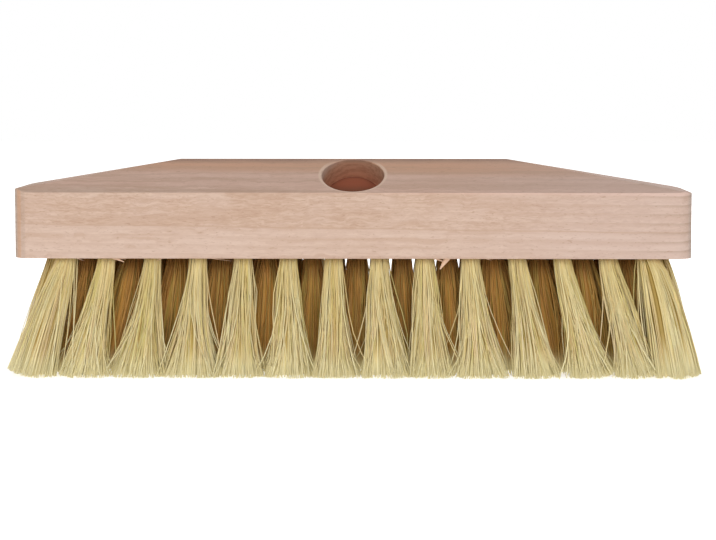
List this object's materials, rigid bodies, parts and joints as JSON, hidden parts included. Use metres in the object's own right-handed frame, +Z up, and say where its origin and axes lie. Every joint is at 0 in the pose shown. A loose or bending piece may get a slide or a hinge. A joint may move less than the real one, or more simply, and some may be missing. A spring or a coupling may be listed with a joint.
{
  "type": "deck brush",
  "caption": "Wooden deck brush head with a roof-shaped beech block, a slanted handle socket and splayed plant-fibre tufts, for scrubbing floors and decks.",
  "frame": {"origin": "on the floor, under the middle of the brush's box, with the bristle tips on Z = 0", "axes": "X along the block, the handle socket opens towards -Y and up, +Z up"},
  "size_m": [0.261, 0.0612, 0.0797],
  "materials": {
    "beech": "unvarnished planed beech with fine grain along the block",
    "fibre": "dry pale straw-coloured plant fibre"
  },
  "bodies": {
    "root": {"block": "beech", "tuft_row1_01": "fibre", "tuft_row1_02": "fibre", "tuft_row1_03": "fibre", "tuft_row1_04": "fibre", "tuft_row1_05": "fibre", "tuft_row1_06": "fibre", "tuft_row1_07": "fibre", "tuft_row1_08": "fibre", "tuft_row1_09": "fibre", "tuft_row1_10": "fibre", "tuft_row1_11": "fibre", "tuft_row1_12": "fibre", "tuft_row1_13": "fibre", "tuft_row1_14": "fibre", "tuft_row2_01": "fibre", "tuft_row2_02": "fibre", "tuft_row2_03": "fibre", "tuft_row2_04": "fibre", "tuft_row2_05": "fibre", "tuft_row2_06": "fibre", "tuft_row2_07": "fibre", "tuft_row2_08": "fibre", "tuft_row2_09": "fibre", "tuft_row2_10": "fibre", "tuft_row2_11": "fibre", "tuft_row2_12": "fibre", "tuft_row2_13": "fibre", "tuft_row2_14": "fibre", "tuft_row2_15": "fibre", "tuft_row3_01": "fibre", "tuft_row3_02": "fibre", "tuft_row3_03": "fibre", "tuft_row3_04": "fibre", "tuft_row3_05": "fibre", "tuft_row3_06": "fibre", "tuft_row3_07": "fibre", "tuft_row3_08": "fibre", "tuft_row3_09": "fibre", "tuft_row3_10": "fibre", "tuft_row3_11": "fibre", "tuft_row3_12": "fibre", "tuft_row3_13": "fibre", "tuft_row3_14": "fibre", "tuft_row4_01": "fibre", "tuft_row4_02": "fibre", "tuft_row4_03": "fibre", "tuft_row4_04": "fibre", "tuft_row4_05": "fibre", "tuft_row4_06": "fibre", "tuft_row4_07": "fibre", "tuft_row4_08": "fibre", "tuft_row4_09": "fibre", "tuft_row4_10": "fibre", "tuft_row4_11": "fibre", "tuft_row4_12": "fibre", "tuft_row4_13": "fibre"}
  },
  "joints": []
}
